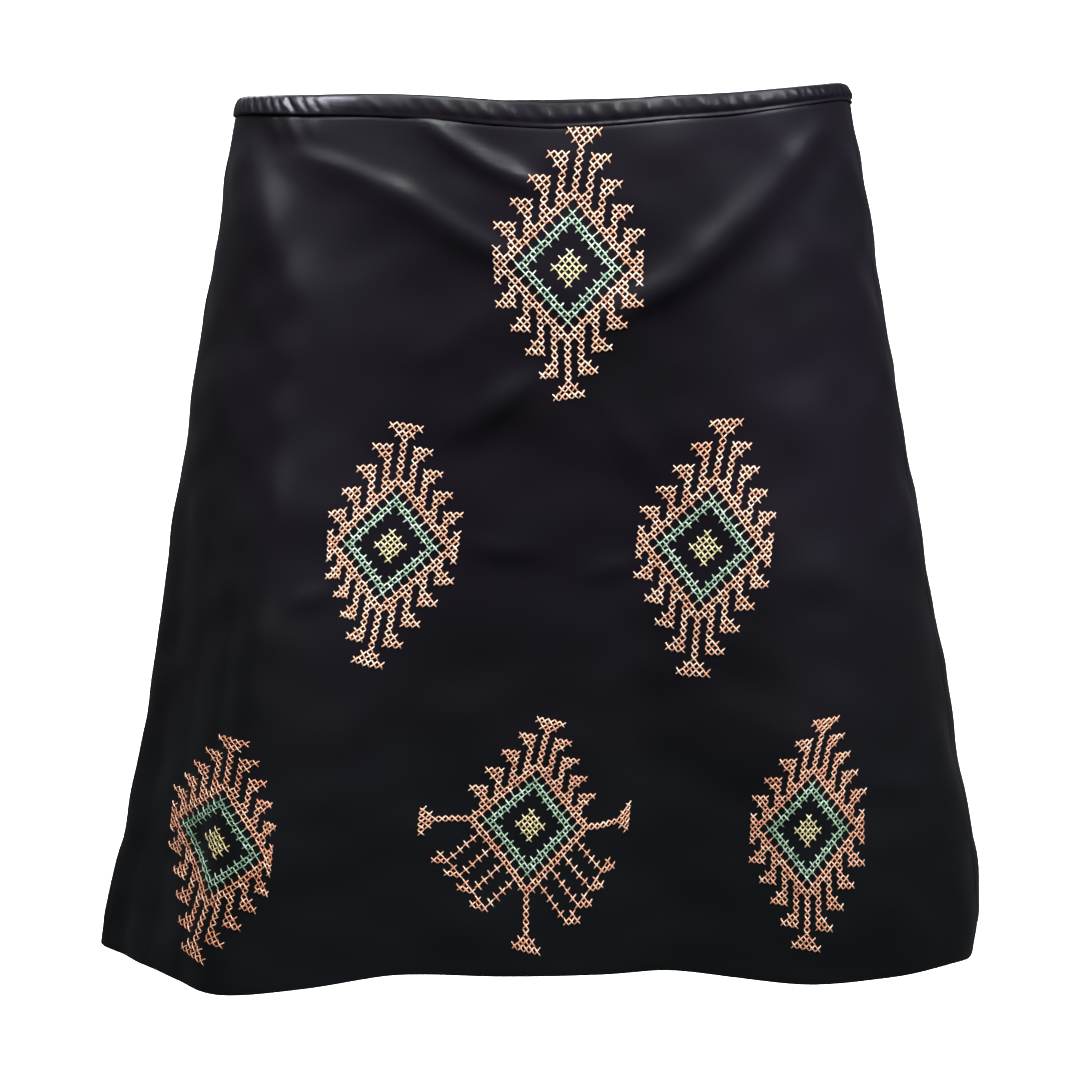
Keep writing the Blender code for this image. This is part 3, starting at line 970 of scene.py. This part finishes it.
def black_satin(name, rough, shine):
    """Acetate satin, woven with long floats: close to black, with broad silky streaks.

    The floats run down the cloth, so light spreads sideways, and the dye leans to aubergine.
    """
    material, tree, shader = blank(name)
    place = add(tree, "ShaderNodeTexCoord")
    grain = add(tree, "ShaderNodeUVMap", {"uv_map": "thread"})
    tint = noise(tree, place.outputs["Object"], 7.0, 3.0)
    colours = ramp(
        tree,
        tint.outputs["Fac"],
        ((0.25, "0E0D10"), (0.50, "151118"), (0.75, "0F0E12")),
    )
    # painted light and shade: towards the top the cloth keeps its lighter mauve tint, and towards
    # the bottom it is mixed to a darker, greener black
    parts = add(tree, "ShaderNodeSeparateXYZ", {}, {"Vector": place.outputs["Object"]})
    lower = add(
        tree,
        "ShaderNodeMapRange",
        {},
        {
            "Value": parts.outputs["Z"],
            "From Min": -0.20,
            "From Max": -0.40,
            "To Min": 0.0,
            "To Max": 1.0,
        },
    )
    # the tint's random tone mixed with the painted shade of the lower half
    dyed = add(
        tree,
        "ShaderNodeMix",
        {"data_type": "RGBA"},
        {0: lower.outputs["Result"], 6: colours.outputs["Color"], 7: linear("0E1012")},
    )
    tree.links.new(dyed.outputs[2], shader.inputs["Base Color"])
    # threads are 0.08 mm apart, drawn at 0.9 mm so that they show
    stretched = add(
        tree,
        "ShaderNodeMapping",
        {},
        {"Vector": grain.outputs["UV"], "Scale": (1100.0, 380.0, 1.0)},
    )
    floats = noise(tree, stretched.outputs["Vector"], 1.0, 2.0)
    raise_up(tree, shader, floats.outputs["Fac"], 0.25, 0.00016)
    gloss = add(
        tree,
        "ShaderNodeMapRange",
        {},
        {"Value": floats.outputs["Fac"], "To Min": rough - 0.05, "To Max": rough + 0.06},
    )
    tree.links.new(gloss.outputs["Result"], shader.inputs["Roughness"])
    shader.inputs["IOR"].default_value = 1.47
    shader.inputs["Specular IOR Level"].default_value = shine
    return material


def cotton_thread(name, dark, middle, light):
    """Mercerised embroidery cotton, two plies twisted: matt, with a slight sheen; the pearly edge
    of each ply is a painted highlight, with painted shade in the groove between plies.
    """
    material, tree, shader = blank(name)
    place = add(tree, "ShaderNodeTexCoord")
    twist = add(tree, "ShaderNodeUVMap", {"uv_map": "twist"})
    tone = add(tree, "ShaderNodeAttribute", {"attribute_name": "tone"})
    # a ply turns once in 1.1 mm
    turned = add(
        tree, "ShaderNodeMapping", {}, {"Vector": twist.outputs["UV"], "Scale": (900.0, 2.0, 1.0)}
    )
    parts = add(tree, "ShaderNodeSeparateXYZ", {}, {"Vector": turned.outputs["Vector"]})
    total = maths(tree, "ADD", parts.outputs["X"], parts.outputs["Y"])
    phase = maths(tree, "MULTIPLY", total, 6.2832)
    wave = maths(tree, "SINE", phase)
    fuzz = noise(tree, place.outputs["Object"], 900.0, 2.0)
    height = maths(tree, "MULTIPLY_ADD", wave, 0.30, 0.5)
    mixed = maths(tree, "MULTIPLY_ADD", fuzz.outputs["Fac"], 0.5, height)
    shade = maths(tree, "MULTIPLY_ADD", tone.outputs["Fac"], 0.6, mixed)
    level = add(
        tree, "ShaderNodeMapRange", {}, {"Value": shade, "From Min": 0.35, "From Max": 1.45}
    )
    # the twist's wave shades the colour: painted highlight on each ply's crest and painted shade in
    # its groove, with random fuzz and each stitch's tone
    colours = ramp(tree, level.outputs["Result"], ((0.0, dark), (0.5, middle), (1.0, light)))
    tree.links.new(colours.outputs["Color"], shader.inputs["Base Color"])
    raise_up(tree, shader, mixed, 0.5, 0.00015)
    shader.inputs["Roughness"].default_value = 0.55
    shader.inputs["IOR"].default_value = 1.53
    shader.inputs["Specular IOR Level"].default_value = 0.30
    shader.inputs["Sheen Weight"].default_value = 0.05
    shader.inputs["Sheen Roughness"].default_value = 0.5
    return material


def black_tape(name, rough):
    """Polyester tape and nylon coil of a zip, dyed black: matt, a little dusty."""
    material, tree, shader = blank(name)
    place = add(tree, "ShaderNodeTexCoord")
    weave = noise(tree, place.outputs["Object"], 1600.0, 1.0)
    colours = ramp(tree, weave.outputs["Fac"], ((0.35, "0B0B0D"), (0.65, "131316")))
    tree.links.new(colours.outputs["Color"], shader.inputs["Base Color"])
    raise_up(tree, shader, weave.outputs["Fac"], 0.4, 0.00010)
    shader.inputs["Roughness"].default_value = rough
    shader.inputs["IOR"].default_value = 1.53
    return material


def black_lacquer(name):
    """Zinc casting under black lacquer: smooth and glossy, dull where fingers rub it."""
    material, tree, shader = blank(name)
    place = add(tree, "ShaderNodeTexCoord")
    rub = noise(tree, place.outputs["Object"], 320.0, 3.0)
    gloss = add(
        tree,
        "ShaderNodeMapRange",
        {},
        {"Value": rub.outputs["Fac"], "To Min": 0.22, "To Max": 0.45},
    )
    tree.links.new(gloss.outputs["Result"], shader.inputs["Roughness"])
    colours = ramp(tree, rub.outputs["Fac"], ((0.3, "1A1A1D"), (0.7, "26262A")))
    tree.links.new(colours.outputs["Color"], shader.inputs["Base Color"])
    shader.inputs["Metallic"].default_value = 0.35
    shader.inputs["Coat Weight"].default_value = 0.5
    shader.inputs["Coat Roughness"].default_value = 0.15
    return material


def studio():
    """Pale floor that curves up into a backdrop, soft lights and a still, pale room."""
    bm = bmesh.new()
    edge = bmesh.ops.create_vert(bm, co=Vector((-6.0, -7.0, -1.1)))["vert"]
    line = [edge[0]]
    path = [(-7.0, -1.1), (2.6, -1.1)]
    for step in range(1, 13):
        turn = step / 12.0 * math.pi / 2.0
        path.append((2.6 + 1.2 * math.sin(turn), 0.1 - 1.2 * math.cos(turn)))
    path.append((3.8, 6.0))
    for depth, height in path[1:]:
        line.append(bmesh.ops.create_vert(bm, co=Vector((-6.0, depth, height)))["vert"][0])
    edges = [bm.edges.new((a, b)) for a, b in zip(line[:-1], line[1:])]
    swept = bmesh.ops.extrude_edge_only(bm, edges=edges)
    moved = [item for item in swept["geom"] if isinstance(item, bmesh.types.BMVert)]
    bmesh.ops.translate(bm, verts=moved, vec=Vector((12.0, 0.0, 0.0)))
    bm.normal_update()
    mesh = bpy.data.meshes.new("backdrop")
    bm.to_mesh(mesh)
    bm.free()
    for polygon in mesh.polygons:
        polygon.use_smooth = True
    material, _, shader = blank("pale paper")
    shader.inputs["Base Color"].default_value = linear("F7F7F7")
    shader.inputs["Roughness"].default_value = 0.9
    shader.inputs["Specular IOR Level"].default_value = 0.1
    # glows a little, so that it stays pale on every side
    shader.inputs["Emission Color"].default_value = linear("F7F7F8")
    shader.inputs["Emission Strength"].default_value = 0.62
    mesh.materials.append(material)
    paper = bpy.data.objects.new("backdrop", mesh)
    bpy.context.scene.collection.objects.link(paper)
    paper.visible_glossy = False
    paper.visible_diffuse = False

    world = bpy.data.worlds.new("room")
    world.use_nodes = True
    room = world.node_tree
    # the room beyond the paper is white to look at, and dim as a light
    seen = add(room, "ShaderNodeLightPath")
    glow = add(
        room,
        "ShaderNodeMapRange",
        {},
        {"Value": seen.outputs["Is Camera Ray"], "To Min": 0.10, "To Max": 1.0},
    )
    ground = room.nodes["Background"]
    ground.inputs["Color"].default_value = linear("F6F6F9")
    room.links.new(glow.outputs["Result"], ground.inputs["Strength"])
    bpy.context.scene.world = world
    bpy.context.scene.view_settings.view_transform = "Standard"

    # name, place, what it points at, size, power, beam in degrees, colour
    lamps = (
        ("key", (-0.8, -1.7, 2.1), (0.02, 0.0, -0.02), 0.9, 8.0, 46.0, "F0FAF6"),
        ("fill", (0.9, -1.7, 1.8), (-0.02, 0.0, -0.04), 0.8, 8.0, 50.0, "F2F6FA"),
        ("side_left", (-2.1, -0.7, 1.7), (-0.14, -0.05, 0.02), 0.4, 1.5, 12.0, "EEF0FC"),
        ("side_right", (2.1, -0.7, 1.5), (0.13, 0.0, -0.03), 0.7, 1.9, 26.0, "EEF4FF"),
        ("back_key", (0.9, 1.9, 1.8), (0.0, 0.10, -0.06), 1.0, 8.0, 44.0, "F4F8FA"),
        ("back_fill", (-1.3, 1.6, 1.3), (0.0, 0.10, -0.14), 0.8, 4.0, 44.0, "F2F0FA"),
        ("wall_left", (-1.6, 1.6, 1.9), (-0.5, 3.8, -0.4), 1.2, 110.0, 110.0, "FFFFFF"),
        ("wall_right", (1.6, 1.6, 1.9), (0.5, 3.8, -0.4), 1.2, 110.0, 110.0, "FFFFFF"),
    )
    for name, place, target, size, power, beam, colour in lamps:
        data = bpy.data.lights.new(name, "AREA")
        data.shape = "DISK"
        data.size = size
        data.energy = power
        data.spread = math.radians(beam)
        data.color = linear(colour)[:3]
        lamp = bpy.data.objects.new(name, data)
        bpy.context.scene.collection.objects.link(lamp)
        lamp.location = place
        way = Vector(target) - Vector(place)
        lamp.rotation_euler = way.to_track_quat("-Z", "Y").to_euler()
        # the left side lamp only picks out the folds
        lamp.visible_diffuse = name != "side_left"


def camera():
    """Long lens, a little above the waist, looking slightly down."""
    data = bpy.data.cameras.new("camera")
    data.lens = 132.8
    data.sensor_width = 36.0
    data.clip_start = 0.05
    data.clip_end = 60.0
    data.shift_x = -0.0028
    data.shift_y = -0.0032
    thing = bpy.data.objects.new("camera", data)
    bpy.context.scene.collection.objects.link(thing)
    thing.location = (0.0, -2.10, 0.010)
    thing.rotation_euler = (math.radians(90.0 - 6.57), 0.0, 0.0)
    bpy.context.scene.camera = thing


camera()
studio()

satin = black_satin("black acetate satin", 0.32, 0.15)
band_satin = black_satin("black satin of the waistband", 0.33, 0.12)
peach = cotton_thread("peach embroidery cotton", "A65C3F", "E59C78", "FFE0CB")
green = cotton_thread("sea green embroidery cotton", "34563F", "88AB8D", "DDEBD9")
straw = cotton_thread("straw embroidery cotton", "A08B55", "D6C48E", "F4E8C2")

front, front_area = panel(
    "satin_front_cloth", SEAM_LEFT, SEAM_RIGHT, 244, 170, (False, False),
    "front_panel", satin,
)
back_left, back_left_area = panel(
    "satin_back_left_cloth", SEAM_BACK - 360.0, SEAM_LEFT, 118, 150, (True, False),
    "back_panel_left", satin,
)
back_right, back_right_area = panel(
    "satin_back_right_cloth", SEAM_RIGHT, SEAM_BACK, 124, 150, (False, True),
    "back_panel_right", satin,
)
band, band_area = waistband(band_satin)

tape = black_tape("black zip tape", 0.75)
zip_tape(-1.0, tape)
zip_tape(1.0, tape)
zip_coil(black_tape("black nylon coil", 0.40))

threads = (peach, green, straw)
for order, layout in enumerate(MEDALLIONS):
    medallion(layout, threads, 40 + order)

lacquer = black_lacquer("black lacquered zinc")
for node in ("zip_slider", "zip_pull"):
    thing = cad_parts[node]
    for place in thing.material_slots:
        place.material = lacquer
